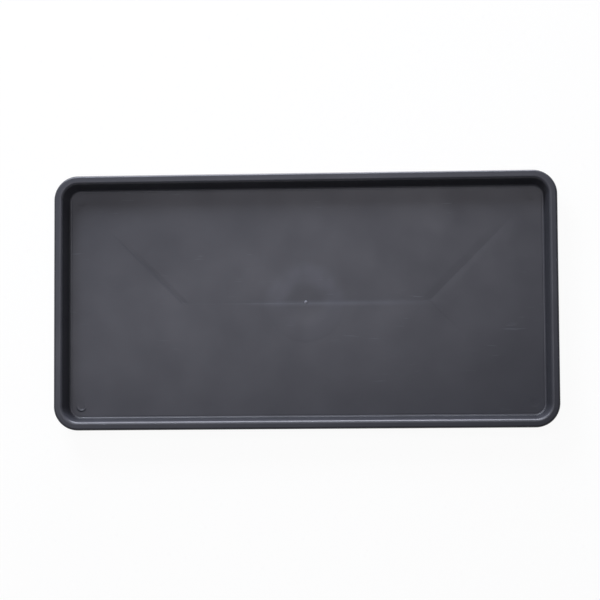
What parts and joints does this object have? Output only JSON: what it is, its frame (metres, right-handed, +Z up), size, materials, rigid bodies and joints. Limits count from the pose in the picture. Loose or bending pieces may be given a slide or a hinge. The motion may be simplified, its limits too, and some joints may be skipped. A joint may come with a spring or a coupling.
{
  "type": "seed tray",
  "caption": "Shallow rectangular seed tray without drainage holes: leaning walls, a rolled flat rim with a turned-down skirt, a floor that falls slightly to a centre line, and four low corner feet.",
  "frame": {"origin": "on the standing plane, under the middle of the tray", "axes": "+X along the tray to the picture's right, +Y across it to the picture's top, +Z up"},
  "size_m": [0.54, 0.274, 0.03],
  "materials": {
    "moulded_plastic": "charcoal polypropylene with a soft satin moulded finish"
  },
  "bodies": {
    "root": {"floor_panel": "moulded_plastic", "side_wall": "moulded_plastic", "rim": "moulded_plastic", "rim_skirt": "moulded_plastic", "foot_front_left": "moulded_plastic", "foot_front_right": "moulded_plastic", "foot_rear_left": "moulded_plastic", "foot_rear_right": "moulded_plastic", "gate_ring": "moulded_plastic", "gate_vestige": "moulded_plastic"}
  },
  "joints": []
}
